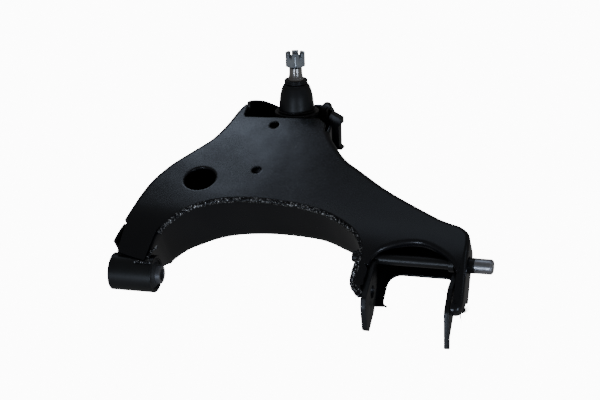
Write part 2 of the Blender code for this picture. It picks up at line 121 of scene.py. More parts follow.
soft_light("overhead", (-0.33, 0.62, 1.15), (0.08, 0.2, 0.12), 0.2, 0.22, 0.5)
soft_light("over_fork", (0.17, 0.26, 1.25), (0.3, 0.1, 0.05), 0.5, 0.6, 0.42)
soft_light("right_strip", (1.45, 0.25, 0.85), (0.4, 0.05, 0.03), 0.12, 0.9, 0.3)
for side in (-1, 1):
    turn = view_turn + side * math.radians(26)
    place = (0.145 + 1.6 * math.sin(turn), 0.264 - 1.6 * math.cos(turn), -0.34)
    soft_light(f"front_{side}", place, (0.145, 0.264, 0.2), 0.24, 0.6, 7)


# ---------------------------------------------------------------- the arm's curved back
# Sheets are drawn flat, as seen from above, and then laid on the curved back of the arm.
# Every flange and web stands square to the sheet that it belongs to.

# Slope of the arm's back in degrees, against distance outboard of the pivot axis.
back_slopes = ((-60, 50), (-17.7, 45), (12.3, 40), (62.3, 26), (232.3, 25), (292.3, 22), (340, 22))
back_start = (-17.7, 17.7)


def slope_at(y):
    """Slope of the arm's back, in radians."""
    for (y0, s0), (y1, s1) in zip(back_slopes, back_slopes[1:]):
        if y <= y1:
            return math.radians(s0 + (s1 - s0) * (y - y0) / (y1 - y0))
    return math.radians(back_slopes[-1][1])


stations = list(range(back_slopes[0][0], back_slopes[-1][0] + 1))
climbs = [0.0]
for station in stations[:-1]:
    climbs.append(climbs[-1] + math.tan(slope_at(station + 0.5)))


def climb_at(y):
    """Rise of the arm's back from the first station."""
    k = min(max(bisect.bisect_right(stations, y) - 1, 0), len(stations) - 2)
    return climbs[k] + (climbs[k + 1] - climbs[k]) * (y - stations[k])


def pressed(x, y, z):
    """The place of a flat point on the curved back; z is its height square to the back."""
    slope = slope_at(y)
    height = back_start[1] + climb_at(y) - climb_at(back_start[0])
    return Vector((x, y - z * math.sin(slope), height + z * math.cos(slope)))


# ---------------------------------------------------------------- upper pressing
# The arm's top half: 4 mm sheet cut to outline and pressed over a curved tool, with its side
# edges and the fork's arch turned down. It was dipped in black coat after welding.

mm = 0.001


def smooth(points, steps):
    """Catmull-Rom curve through the points."""
    result = []
    for i in range(len(points) - 1):
        b, c = Vector(points[i]), Vector(points[i + 1])
        a = Vector(points[i - 1]) if i else b * 2 - c
        d = Vector(points[i + 2]) if i + 2 < len(points) else c * 2 - b
        for k in range(steps):
            t = k / steps
            result.append(0.5 * (2 * b + (c - a) * t + (2 * a - 5 * b + 4 * c - d) * t * t
                                 + (3 * b - a - 3 * c + d) * t ** 3))
    result.append(Vector(points[-1]))
    return [tuple(p) for p in result]


def straight(points, step):
    """The points of straight runs, filled in at an even step."""
    result = []
    for a, b in zip(points, points[1:]):
        count = max(1, round((Vector(b) - Vector(a)).length / step))
        result += [tuple(Vector(a).lerp(Vector(b), k / count)) for k in range(count)]
    return result + [tuple(points[-1])]


def side_normals(path):
    """Normals to the right of an open path."""
    result = []
    for i in range(len(path)):
        before = (Vector(path[i]) - Vector(path[max(i - 1, 0)])).normalized()
        after = (Vector(path[min(i + 1, len(path) - 1)]) - Vector(path[i])).normalized()
        run = (before + after).normalized()
        result.append(Vector((run.y, -run.x)))
    return result


def loop_miters(loop):
    """Outward miters of a closed anticlockwise loop, no longer than 1.6 at its corners."""
    result = []
    for i, place in enumerate(loop):
        before = (Vector(place) - Vector(loop[i - 1])).normalized()
        after = (Vector(loop[(i + 1) % len(loop)]) - Vector(place)).normalized()
        square = Vector((before.y, -before.x))
        miter = (square + Vector((after.y, -after.x))).normalized()
        result.append(miter / max(miter.dot(square), 0.62))
    return result


def finished(bm, name, sharp=35):
    """A named object, in metres, from a bmesh in millimetres."""
    bmesh.ops.recalc_face_normals(bm, faces=bm.faces)
    for vertex in bm.verts:
        vertex.co *= mm
    mesh = bpy.data.meshes.new(name)
    bm.to_mesh(mesh)
    bm.free()
    mesh.shade_smooth()
    mesh.set_sharp_from_angle(angle=math.radians(sharp))
    piece = bpy.data.objects.new(name, mesh)
    bpy.context.scene.collection.objects.link(piece)
    return piece


def made_plain(piece, sharp=35):
    """The piece's modifiers, worked into its mesh."""
    evaluated = piece.evaluated_get(bpy.context.evaluated_depsgraph_get())
    mesh = bpy.data.meshes.new_from_object(evaluated)
    piece.modifiers.clear()
    piece.data = mesh
    mesh.shade_smooth()
    mesh.set_sharp_from_angle(angle=math.radians(sharp))


def softened(piece, width, segments=2, angle=50):
    """A small round on every edge sharper than the angle."""
    bevel = piece.modifiers.new("soft_edge", "BEVEL")
    bevel.width = width * mm
    bevel.segments = segments
    bevel.limit_method = "ANGLE"
    bevel.angle_limit = math.radians(angle)
    bevel.use_clamp_overlap = False
    made_plain(piece)


def ring_of(bm, radius, height, sides):
    """Points of a circle about Z, or the one point on Z where the radius is 0."""
    turns = [math.tau * k / sides for k in range(sides if radius else 1)]
    return [bm.verts.new((radius * math.cos(turn), radius * math.sin(turn), height)) for turn in turns]


def stitch(bm, rings):
    """Faces between each ring and the next, and between the last and the first."""
    for a, b in zip(rings, rings[1:] + rings[:1]):
        for k in range(max(len(a), len(b))):
            corners = [a[k % len(a)], a[(k + 1) % len(a)], b[(k + 1) % len(b)], b[k % len(b)]]
            corners = list(dict.fromkeys(corners))
            if len(corners) > 2:
                bm.faces.new(corners)


def turned(name, profile, sides, matrix, sharp=30):
    """A closed (radius, height) profile turned about Z, then placed by a matrix."""
    bm = bmesh.new()
    stitch(bm, [ring_of(bm, radius, height, sides) for radius, height in profile])
    bmesh.ops.transform(bm, matrix=matrix, verts=bm.verts)
    return finished(bm, name, sharp)


def bored(piece, radius, low, high, matrix, sides=48):
    """A round hole through a piece."""
    cutter = turned("cutter", ((0, low), (radius, low), (radius, high), (0, high)), sides, matrix)
    hole = piece.modifiers.new("bore", "BOOLEAN")
    hole.operation = "DIFFERENCE"
    hole.object = cutter
    made_plain(piece)
    bpy.data.objects.remove(cutter, do_unlink=True)


pivot_axis = Matrix.Rotation(math.radians(90), 4, "Y")
pin_axis = Matrix.Translation((0, 30, 35.5)) @ pivot_axis


def new_group(name, settings):
    """An empty shader group with Color, Roughness and Normal outputs, and its inputs."""
    group = bpy.data.node_groups.new(name, "ShaderNodeTree")
    for label, kind, value in settings:
        socket = group.interface.new_socket(label, in_out="INPUT", socket_type=kind)
        socket.default_value = value
    group.interface.new_socket("Color", in_out="OUTPUT", socket_type="NodeSocketColor")
    group.interface.new_socket("Roughness", in_out="OUTPUT", socket_type="NodeSocketFloat")
    group.interface.new_socket("Normal", in_out="OUTPUT", socket_type="NodeSocketVector")
    return group, group.nodes.new("NodeGroupInput"), group.nodes.new("NodeGroupOutput")


def noise_at(group, place, scale, detail=2.0, rough=0.5):
    """A noise texture on object coordinates, in cells per metre."""
    made = group.nodes.new("ShaderNodeTexNoise")
    group.links.new(place, made.inputs["Vector"])
    made.inputs["Scale"].default_value = scale
    made.inputs["Detail"].default_value = detail
    made.inputs["Roughness"].default_value = rough
    return made.outputs["Fac"]


def mapped(group, value, low, high, to_low, to_high):
    """A value moved from one range to another; the new range may be numbers or sockets."""
    made = group.nodes.new("ShaderNodeMapRange")
    group.links.new(value, made.inputs["Value"])
    made.inputs["From Min"].default_value = low
    made.inputs["From Max"].default_value = high
    for label, bound in (("To Min", to_low), ("To Max", to_high)):
        if isinstance(bound, bpy.types.NodeSocket):
            group.links.new(bound, made.inputs[label])
        else:
            made.inputs[label].default_value = bound
    return made.outputs["Result"]


def arithmetic(group, operation, *values):
    """A Math node on numbers or sockets."""
    made = group.nodes.new("ShaderNodeMath")
    made.operation = operation
    for socket, value in zip(made.inputs, values):
        if isinstance(value, bpy.types.NodeSocket):
            group.links.new(value, socket)
        else:
            socket.default_value = value
    return made.outputs["Value"]


def mixed(group, factor, first, second):
    """One colour turning into another."""
    made = group.nodes.new("ShaderNodeMix")
    made.data_type = "RGBA"
    group.links.new(factor, made.inputs[0])
    for socket, colour in ((made.inputs[6], first), (made.inputs[7], second)):
        if isinstance(colour, bpy.types.NodeSocket):
            group.links.new(colour, socket)
        else:
            socket.default_value = (*colour, 1)
    return made.outputs[2]


def raised(group, height, distance, under=None):
    """A bump of a height socket, over another bump if one is given."""
    made = group.nodes.new("ShaderNodeBump")
    made.inputs["Strength"].default_value = 1
    group.links.new(height, made.inputs["Height"])
    if isinstance(distance, bpy.types.NodeSocket):
        group.links.new(distance, made.inputs["Distance"])
    else:
        made.inputs["Distance"].default_value = distance
    if under:
        group.links.new(under, made.inputs["Normal"])
    return made.outputs["Normal"]


def coat_finish():
    """Dipped black coat: slow waves of the sheet, orange peel, duller patches and a few specks."""
    group, given, result = new_group("dipped_coat", (
        ("Tint", "NodeSocketColor", (0.02, 0.02, 0.02, 1)), ("Gloss", "NodeSocketFloat", 0.4),
        ("Waves", "NodeSocketFloat", 0.0004), ("Peel", "NodeSocketFloat", 0.00002),
        ("Dust", "NodeSocketFloat", 0.1)))
    place = group.nodes.new("ShaderNodeTexCoord").outputs["Object"]
    patches = noise_at(group, place, 9, 3, 0.55)
    fine = noise_at(group, place, 420, 3, 0.6)
    specks = mapped(group, noise_at(group, place, 900, 1, 0.4), 0.73, 0.8, 0.0, 1.0)
    gloss = arithmetic(group, "ADD", given.outputs["Gloss"], mapped(group, patches, 0.3, 0.7, -0.05, 0.06))
    gloss = arithmetic(group, "ADD", gloss, mapped(group, fine, 0.3, 0.7, -0.025, 0.025))
    group.links.new(arithmetic(group, "ADD", gloss, arithmetic(group, "MULTIPLY", specks, 0.2)),
                    result.inputs["Roughness"])
    film = mixed(group, mapped(group, patches, 0.35, 0.75, 0.0, given.outputs["Dust"]),
                 given.outputs["Tint"], (0.11, 0.105, 0.1))
    group.links.new(mixed(group, arithmetic(group, "MULTIPLY", specks, given.outputs["Dust"]), film,
                          (0.3, 0.29, 0.27)), result.inputs["Color"])
    waves = raised(group, noise_at(group, place, 16, 2, 0.45), given.outputs["Waves"])
    group.links.new(raised(group, fine, given.outputs["Peel"], waves), result.inputs["Normal"])
    return group


dipped_coat = coat_finish()


def material_of(name, group, metallic, specular=0.5, **settings):
    """A material whose colour, roughness and normal come from a finish."""
    made = bpy.data.materials.new(name)
    made.use_nodes = True
    tree = made.node_tree
    shader = tree.nodes["Principled BSDF"]
    finish = tree.nodes.new("ShaderNodeGroup")
    finish.node_tree = group
    for label, value in settings.items():
        finish.inputs[label].default_value = value
    for output, label in (("Color", "Base Color"), ("Roughness", "Roughness"), ("Normal", "Normal")):
        tree.links.new(finish.outputs[output], shader.inputs[label])
    shader.inputs["Metallic"].default_value = metallic
    shader.inputs["Specular IOR Level"].default_value = specular
    return made


black_sheet = material_of("black_sheet", dipped_coat, 0, Tint=(0.006, 0.0065, 0.0085, 1), Gloss=0.24,
                          Waves=0.0005, Peel=0.00002, Dust=0.05)


def dress(piece, finish, body, slot, *replaced):
    """Give a piece its material and its body, and hide the nodes it stands for. The slot argument is not
    used.
    """
    piece.data.materials.clear()
    piece.data.materials.append(finish)
    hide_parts(*replaced)
    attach(piece, body)


sheet = 4.0
bend_radius = 6.5
bush_radius = 25
pin_bore = 7.8
ear_hole = 11.3

left_edge = smooth(((72, 252), (66, 237), (58, 210), (46, 184), (25, 159), (3, 133), (-14, 103),
                    (-22, 76), (-25, 60), (-28, 46), (-30.5, 36)), 8)
right_edge = smooth(((438.5, -37.5), (445, -37.5), (450.5, -34.5), (453, -28), (451.5, -10), (448.5, 18),
                     (446.5, 38), (442, 53), (429, 63), (410, 69), (388, 78), (320, 113),
                     (271, 145), (243, 165), (217, 195), (207, 211)), 9)
inner_arc = smooth(((17, 4), (20, 21), (27, 31), (49, 56), (81, 74), (120, 82), (173, 82),
                    (236, 72), (282, 50), (303, 29), (309, 10), (307, -17)), 9)
fork_arch = smooth(((320, -16), (320, -1), (323, 11), (335, 22), (360, 31), (387, 32), (414, 22),
                    (431, 10), (438, -1), (440, -20), (441, -37)), 7)


def pressing(name, runs, holes, level, upward):
    """A pressed sheet with flanges and rolled holes, drawn as two skins a sheet apart.

    runs go round the sheet anticlockwise: a path, its bend's radius (0 for a cut edge) and the
    flange's depth. holes are (x, y, radius, lip radius). level is the outer face's height, and
    upward is 1 for flanges that stand up and -1 for flanges that hang down.
    """
    support = 1.8
    tube_clearance = bush_radius + 0.1
    bm = bmesh.new()
    inner_of = {}

    def pair(x, y, lift, inner_x, inner_y, inner_lift):
        outer = bm.verts.new(pressed(x, y, level + upward * lift))
        inner = pressed(inner_x, inner_y, level + upward * inner_lift)
        reach = math.hypot(inner.y, inner.z)
        if reach < tube_clearance:
            inner = Vector((inner.x, inner.y * tube_clearance / reach, inner.z * tube_clearance / reach))
        inner_of[outer] = bm.verts.new(inner)
        return outer

    columns = []
    flat_loop = []
    for path, radius, depth in runs:
        for (x, y), n in zip(path, side_normals(path)):
            if radius == 0:
                columns.append([pair(x, y, 0, x, y, sheet)])
                flat_loop.append((x, y))
                continue
            section = []
            for angle in range(0, 91, 15):
                out, lift = math.sin(math.radians(angle)), math.cos(math.radians(angle))
                section.append((radius * (out - 1), radius * (1 - lift),
                                (radius - sheet) * out - radius, radius - (radius - sheet) * lift))
            deep = depth(x, y)
            section += [(0, deep - support, -sheet, deep - support), (0, deep, -sheet, deep)]
            columns.append([pair(x + n.x * a, y + n.y * a, b, x + n.x * c, y + n.y * c, d)
                            for a, b, c, d in section])
            flat_loop.append((x - n.x * radius, y - n.y * radius))
    rim = []
    rims = [[]]
    for (x, y), m in zip(flat_loop, loop_miters(flat_loop)):
        place = (x - m.x * support, y - m.y * support)
        rims[0].append(place)
        rim.append(pair(*place, 0, *place, sheet))
    bands = list(zip(columns, columns[1:] + columns[:1]))
    for a, b in bands:
        for k in range(min(len(a), len(b)) - 1):
            bm.faces.new((a[k], a[k + 1], b[k + 1], b[k]))
    for k, (a, b) in enumerate(bands):
        bm.faces.new((rim[k], a[0], b[0], rim[(k + 1) % len(rim)]))
    rim_verts = list(rim)
    for cx, cy, radius, lip in holes:
        squash = math.cos(slope_at(cy))
        rolled = [(lip + support, 0), (lip, 0)]
        rolled += [(lip * (1 - math.sin(math.radians(a))), lip * (1 - math.cos(math.radians(a))))
                   for a in (22.5, 45, 67.5, 90)]
        rings = []
        for out, lift in rolled:
            spots = [(cx + (radius + out) * math.cos(math.tau * k / 60),
                      cy + (radius + out) * math.sin(math.tau * k / 60) * squash) for k in range(60)]
            rings.append([pair(*spot, lift, *spot, sheet) for spot in spots])
            if lift == 0 and out > lip:
                rims.append(spots)
        for a, b in zip(rings, rings[1:]):
            for k in range(60):
                bm.faces.new((a[k], b[k], b[(k + 1) % 60], a[(k + 1) % 60]))
        rim_verts += rings[0]

    points = [Vector(place) for spots in rims for place in spots]
    edges = []
    start = 0
    for spots in rims:
        edges += [(start + k, start + (k + 1) % len(spots)) for k in range(len(spots))]
        start += len(spots)
    near = kdtree.KDTree(len(points))
    for k, place in enumerate(points):
        near.insert((place.x, place.y, 0), k)
    near.balance()
    step = 5.0
    low = (min(p.x for p in points), min(p.y for p in points))
    high = (max(p.x for p in points), max(p.y for p in points))
    for row in range(int((high[1] - low[1]) / step)):
        for column in range(int((high[0] - low[0]) / step) + 1):
            place = Vector((low[0] + step * (column + 0.5 * (row % 2)), low[1] + step * (row + 0.5)))
            if near.find((place.x, place.y, 0))[2] > 0.6 * step:
                points.append(place)
    spots, _, triangles, sources, _, _ = geometry.delaunay_2d_cdt(points, edges, [], 1, 0.0001)
    placed = {}
    for triangle in triangles:
        middle = sum((spots[k] for k in triangle), Vector((0, 0))) / 3
        if any(math.hypot(middle.x - cx, (middle.y - cy) / math.cos(slope_at(cy))) < radius + lip + support
               for cx, cy, radius, lip in holes):
            continue
        for k in triangle:
            if k not in placed:
                known = [s for s in sources[k] if s < len(rim_verts)]
                place = tuple(spots[k])
                placed[k] = rim_verts[known[0]] if known else pair(*place, 0, *place, sheet)
        bm.faces.new([placed[k] for k in triangle])

    outer_faces = list(bm.faces)
    open_edges = [edge for edge in bm.edges if len(edge.link_faces) == 1]
    for face in outer_faces:
        bm.faces.new([inner_of[v] for v in reversed(face.verts)])
    for edge in open_edges:
        a, b = edge.verts
        if inner_of[a] is not inner_of[b]:
            bm.faces.new((a, b, inner_of[b], inner_of[a]))
    return finished(bm, name, 50)


def side_depth(x, y):
    """Depth of the side flanges, which are cut back at the right ear."""
    ear = min(max((x - 400) / 30, 0), 1)
    return 38 - ear * (4 + 0.36 * max(10 - y, 0))


def arch_depth(x, y):
    """Depth of the arch's flange, deepest at the middle."""
    return 10 - 3 * min(max((abs(x - 380) - 25) / 25, 0), 1)


upper_shell = pressing("upper_pressing", (
    (straight(((-26, -5), (15, -13), (16.4, -2)), 5), 0, None),
    (inner_arc, 0, None),
    (straight(((308, -19.5), (313, -21), (319, -19), (320, -2)), 4), 0, None),
    ([p for p in fork_arch if p[1] > 2], 4.5, arch_depth),
    (straight(((438, -1), (440, -20), (440.6, -27)), 4), 0, None),
    (right_edge, bend_radius, side_depth),
    (straight(((199, 222), (188, 231), (82, 226.5), (79, 231), (79, 246)), 5), 0, None),
    (left_edge, bend_radius, side_depth),
    (straight(((-24.7, 32), (-25.9, -1)), 5), 0, None),
), ((53.7, 110, 21.5, 2.2), (128, 131, 6.5, 0.8), (128, 214, 6.5, 0.8)), 0, -1)
bored(upper_shell, ear_hole, 400, 500, pin_axis)
softened(upper_shell, 0.7, 3, 60)
dress(upper_shell, black_sheet, "arm", "black_paint", "upper_shell")


# ---------------------------------------------------------------- lower pressing
# The bottom half: a tray of the same sheet, whose wall stands inside the top's flange, and
# rises round the ball joint. It closes the box, and is welded to the top along both sides.

gap = 0.3
box_depth = 62.0
collar_radius = 30
ball_axis = Matrix.Translation((145, 264, 0))


def offset_path(path, distance):
    """The path moved to its right by a distance."""
    return [tuple(Vector(p) + n * distance) for p, n in zip(path, side_normals(path))]


def rounded(points, radii, steps):
    """Closed polygon whose corners are turned into arcs of the given radii."""
    result = []
    for i, radius in enumerate(radii):
        corner = Vector(points[i])
        if radius <= 0:
            result.append(tuple(corner))
            continue
        to_last = (Vector(points[i - 1]) - corner).normalized()
        to_next = (Vector(points[(i + 1) % len(points)]) - corner).normalized()
        half = to_last.angle(to_next) / 2
        centre = corner + (to_last + to_next).normalized() * radius / math.sin(half)
        first = corner + to_last * radius / math.tan(half) - centre
        last = corner + to_next * radius / math.tan(half) - centre
        turn = first.angle_signed(last)
        for k in range(steps + 1):
            result.append(tuple(centre + Matrix.Rotation(-turn * k / steps, 2) @ first))
    return result


inset = sheet + 3 * gap
right_wall = offset_path([p for p in right_edge if p[1] > -12], -inset)
left_wall = offset_path(left_edge, -inset)
outer_end = smooth((right_wall[-1], (200.5, 217), (199, 231), (198, 258), (190, 281), (170, 288),
                    (133, 288.5), (97, 288), (79, 280), (71, 266), left_wall[0]), 6)


# Heights of the wall round the ball joint, against the direction from a place beside the joint.
far_wall_centre = (135, 240)
far_wall = ((0, 38), (36, 36), (62, 34), (75, 26), (119, 25), (128, 31), (136, 37.5), (144.5, 43),
            (158, 52), (169, 57), (176, 52), (180, 38))


def wall_height(x, y):
    """Height of the tray's wall, with the tab on the leg and the rise round the ball joint."""
    if x < 0:
        return 38 + 19 * min(max((36 - y) / 4, 0), 1)
    if y < far_wall_centre[1]:
        return 38
    turn = math.degrees(math.atan2(y - far_wall_centre[1], x - far_wall_centre[0]))
    for (a, low), (b, high) in zip(far_wall, far_wall[1:]):
        if turn <= b:
            return low + (high - low) * (turn - a) / (b - a)
    return far_wall[-1][1]


tray_wall = (right_wall[:-1] + outer_end[:-1] + left_wall[:-1]
             + smooth((left_wall[-1], (-30, 30.5), (-34, 20), (-37.5, 8)), 5))
lower_shell = pressing("lower_pressing", (
    (straight(((-24, 10), (8, 12)), 5), 0, None),
    (offset_path([p for p in inner_arc if p[0] > 19], -inset - 1), 0, None),
    (straight(((304, -20), (324, -22)), 5), 0, None),
    (straight(rounded(((333, -21), (334, 20), (428, 20), (428, -12)), (6, 18, 18, 0), 8), 5), 0, None),
    ([(438, -12)], 0, None),
    (tray_wall, bend_radius, wall_height),
), (), -box_depth, 1)
bored(lower_shell, collar_radius + gap, 60, 200, ball_axis, 72)
bored(lower_shell, ear_hole, 400, 500, pin_axis)
softened(lower_shell, 0.7, 3, 60)
dress(lower_shell, black_sheet, "arm", "black_paint", "lower_shell")


# ---------------------------------------------------------------- inner web
# A strip of the same sheet, bent to the arm's inner arc and standing under the top's cut edge.
# It closes the box on that side.

web_path = smooth(((20.5, -6), (20.5, 6), (22.5, 19), (28, 31), (49, 56), (81, 74), (120, 82), (173, 82),
                   (236, 72), (282, 50), (303, 29), (309, 10), (307, -17)), 9)


def web_depth(x, y):
    """The strip is deeper towards the bush, and its end is trimmed to sit on the tube."""
    depth = box_depth + 0.076 * min(max(230 - x, 0), 210)
    return depth - 1.2 * max(20 - y, 0) if x < 100 else depth


web_mesh = bmesh.new()
rings = []
for (x, y), n in zip(web_path, side_normals(web_path)):
    deep = web_depth(x, y)
    rows = [(0, -4.3 - (deep - 4.3) * k / 6) for k in range(7)] + [(-4, -deep), (-4, -4.3)]
    rings.append([web_mesh.verts.new(pressed(x + n.x * d, y + n.y * d, z)) for d, z in rows])
for a, b in zip(rings, rings[1:]):
    for k in range(9):
        web_mesh.faces.new((a[k], a[(k + 1) % 9], b[(k + 1) % 9], b[k]))
web_mesh.faces.new(rings[0])
web_mesh.faces.new(rings[-1])
inner_web = finished(web_mesh, "inner_web_strip", 50)
bored(inner_web, bush_radius + gap, -60, 60, pivot_axis, 96)
bored(inner_web, pin_bore, 280, 330, pin_axis)
softened(inner_web, 0.5, angle=60)
dress(inner_web, black_sheet, "arm", "black_paint", "inner_web")


# ---------------------------------------------------------------- weld beads
# Arc-weld beads laid by hand: a tube of metal along the seam, rippled by the weaving torch,
# with lumps and spatter, then coated with the rest.


def weld_finish():
    """Coated weld metal: tight ripples and spatter under a glossy skin, with painted glints: a pale colour on
    some crests stands in for highlights.
    """
    group, given, result = new_group("coated_weld", (
        ("Tint", "NodeSocketColor", (0.04, 0.04, 0.04, 1)),
        ("Bare", "NodeSocketColor", (0.3, 0.29, 0.27, 1)),
        ("Bareness", "NodeSocketFloat", 0.5), ("Gloss", "NodeSocketFloat", 0.3)))
    place = group.nodes.new("ShaderNodeTexCoord").outputs["Object"]
    coarse = noise_at(group, place, 330, 4, 0.65)
    fine = noise_at(group, place, 1500, 3, 0.6)
    # Painted glints: a pale colour on the crests of a noise stands in for highlights off the bead.
    painted_glint_mask = mapped(group, coarse, 0.53, 0.66, 0.0, given.outputs["Bareness"])
    film = mixed(group, painted_glint_mask, given.outputs["Tint"], given.outputs["Bare"])
    group.links.new(film, result.inputs["Color"])
    unevenness = mapped(group, fine, 0.3, 0.7, -0.08, 0.12)
    group.links.new(arithmetic(group, "ADD", given.outputs["Gloss"], unevenness), result.inputs["Roughness"])
    group.links.new(raised(group, fine, 0.0001, raised(group, coarse, 0.0012)), result.inputs["Normal"])
    return group


coated_weld = weld_finish()
# The pale crest colour at full strength paints glints on the beads.
weld_metal = material_of("weld_metal", coated_weld, 0.5, Tint=(0.016, 0.016, 0.018, 1),
                         Bare=(0.75, 0.75, 0.73, 1), Bareness=1.0, Gloss=0.24)


def bead_group():
    """Sweeps a rippled, lumpy bead along a curve."""
    group = bpy.data.node_groups.new("weld_bead", "GeometryNodeTree")
    group.interface.new_socket("Geometry", in_out="INPUT", socket_type="NodeSocketGeometry")
    for label, kind, value in (("Radius", "NodeSocketFloat", 0.003), ("Pitch", "NodeSocketFloat", 0.0024),
                               ("Ripple", "NodeSocketFloat", 0.0003), ("Lumps", "NodeSocketFloat", 0.001),
                               ("Lump Size", "NodeSocketFloat", 160.0)):
        group.interface.new_socket(label, in_out="INPUT", socket_type=kind).default_value = value
    group.interface.new_socket("Finish", in_out="INPUT", socket_type="NodeSocketMaterial")
    group.interface.new_socket("Geometry", in_out="OUTPUT", socket_type="NodeSocketGeometry")
    given = group.nodes.new("NodeGroupInput")
    result = group.nodes.new("NodeGroupOutput")

    spaced = group.nodes.new("GeometryNodeResampleCurve")
    spaced.mode = "LENGTH"
    spaced.inputs["Length"].default_value = 0.0006
    group.links.new(given.outputs["Geometry"], spaced.inputs["Curve"])
    along = group.nodes.new("GeometryNodeCaptureAttribute")
    along.capture_items.new("FLOAT", "Along")
    group.links.new(spaced.outputs["Curve"], along.inputs["Geometry"])
    group.links.new(group.nodes.new("GeometryNodeSplineParameter").outputs["Length"], along.inputs["Along"])
    ring = group.nodes.new("GeometryNodeCurvePrimitiveCircle")
    ring.inputs["Resolution"].default_value = 26
    group.links.new(given.outputs["Radius"], ring.inputs["Radius"])
    around = group.nodes.new("GeometryNodeCaptureAttribute")
    around.capture_items.new("FLOAT", "Around")
    group.links.new(ring.outputs["Curve"], around.inputs["Geometry"])
    group.links.new(group.nodes.new("GeometryNodeSplineParameter").outputs["Factor"], around.inputs["Around"])
    swept = group.nodes.new("GeometryNodeCurveToMesh")
    swept.inputs["Fill Caps"].default_value = True
    group.links.new(along.outputs["Geometry"], swept.inputs["Curve"])
    group.links.new(around.outputs["Geometry"], swept.inputs["Profile Curve"])
    place = group.nodes.new("GeometryNodeInputPosition")
    wander = group.nodes.new("ShaderNodeTexNoise")
    group.links.new(place.outputs["Position"], wander.inputs["Vector"])
    wander.inputs["Scale"].default_value = 90
    lumps = group.nodes.new("ShaderNodeTexNoise")
    group.links.new(place.outputs["Position"], lumps.inputs["Vector"])
    group.links.new(given.outputs["Lump Size"], lumps.inputs["Scale"])
    lumps.inputs["Detail"].default_value = 3
    turns = arithmetic(group, "MULTIPLY", around.outputs["Around"], 2 * math.tau)
    bow = arithmetic(group, "MULTIPLY", arithmetic(group, "SINE", turns), 0.6)
    phase = arithmetic(group, "DIVIDE", along.outputs["Along"], given.outputs["Pitch"])
    phase = arithmetic(group, "ADD", phase, bow)
    phase = arithmetic(group, "ADD", phase, arithmetic(group, "MULTIPLY", wander.outputs["Fac"], 3.0))
    ripple = arithmetic(group, "SINE", arithmetic(group, "MULTIPLY", phase, math.tau))
    ripple = arithmetic(group, "MULTIPLY", ripple, given.outputs["Ripple"])
    swell = arithmetic(group, "SUBTRACT", lumps.outputs["Fac"], 0.5)
    swell = arithmetic(group, "MULTIPLY", swell, given.outputs["Lumps"])
    outward = group.nodes.new("GeometryNodeInputNormal")
    shift = group.nodes.new("ShaderNodeVectorMath")
    shift.operation = "SCALE"
    group.links.new(outward.outputs["Normal"], shift.inputs[0])
    group.links.new(arithmetic(group, "ADD", ripple, swell), shift.inputs["Scale"])
    moved = group.nodes.new("GeometryNodeSetPosition")
    group.links.new(swept.outputs["Mesh"], moved.inputs["Geometry"])
    group.links.new(shift.outputs["Vector"], moved.inputs["Offset"])
    shaded = group.nodes.new("GeometryNodeSetShadeSmooth")
    group.links.new(moved.outputs["Geometry"], shaded.inputs["Geometry"])
    real = group.nodes.new("GeometryNodeRealizeInstances")
    group.links.new(shaded.outputs["Geometry"], real.inputs["Geometry"])
    painted = group.nodes.new("GeometryNodeSetMaterial")
    group.links.new(real.outputs["Geometry"], painted.inputs["Geometry"])
    group.links.new(given.outputs["Finish"], painted.inputs["Material"])
    group.links.new(painted.outputs["Geometry"], result.inputs["Geometry"])
    return group


weld_bead = bead_group()


def weld(name, places, radius, ripple=0.3, lumps=1.2, lump_size=170.0, pitch=2.4):
    """A bead of a radius, in millimetres, along a line of places."""
    curve = bpy.data.curves.new(name, "CURVE")
    curve.dimensions = "3D"
    spline = curve.splines.new("POLY")
    spline.points.add(len(places) - 1)
    for point, place in zip(spline.points, places):
        point.co = (*(Vector(place) * mm), 1)
    line = bpy.data.objects.new(name, curve)
    bpy.context.scene.collection.objects.link(line)
    modifier = line.modifiers.new("bead", "NODES")
    modifier.node_group = weld_bead
    values = {"Radius": radius * mm, "Pitch": pitch * mm, "Ripple": ripple * mm, "Lumps": lumps * mm,
              "Lump Size": lump_size, "Finish": weld_metal}
    for item in weld_bead.interface.items_tree:
        if item.in_out == "INPUT" and item.name in values:
            modifier[item.identifier] = values[item.name]
    evaluated = line.evaluated_get(bpy.context.evaluated_depsgraph_get())
    mesh = bpy.data.meshes.new_from_object(evaluated)
    bpy.data.objects.remove(line, do_unlink=True)
    bead = bpy.data.objects.new(name, mesh)
    bpy.context.scene.collection.objects.link(bead)
    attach(bead, "arm")
    return bead


def sunk(x):
    """How far the bead drops below the top's cut edge, towards the fork."""
    return 2.6 * math.exp(-((x - 268) / 26) ** 2)


arc_seam = [(x, y) for x, y in web_path if x > 23]
arc_bead = weld("inner_arc_bead", [pressed(x + n.x * 0.4, y + n.y * 0.4, -3.6 - sunk(x))
                                   for (x, y), n in zip(arc_seam, side_normals(arc_seam))], 3.6)
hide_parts("inner_arc_weld")
leg_bead = weld("leg_bead", [(x, -15.2, 20.9) for x in range(2, 27, 2)], 1.9, 0.3, 2.0, 240.0)
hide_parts("bush_leg_weld")
corner_seam = straight(((27.5, 5), (21, -2), (18, -9), (20, -13.5)), 3)
weld("corner_bead", [pressed(x, y, -2.5) for x, y in corner_seam], 1.7, 0.3, 2.2, 260.0)
ear_seam = smooth(((308, 16), (304, 4), (302.5, -12), (304.5, -20), (311, -26), (317, -29.5)), 6)
weld("ear_bead", [pressed(x, y, -3) for x, y in ear_seam], 3.3, 0.4, 3.0, 150.0)
ear_seam_end = smooth(((306.5, -19), (312, -22), (318, -27)), 4)
weld("ear_bead_end", [pressed(x, y, -3) for x, y in ear_seam_end], 2.6, 0.3, 2.6, 190.0)


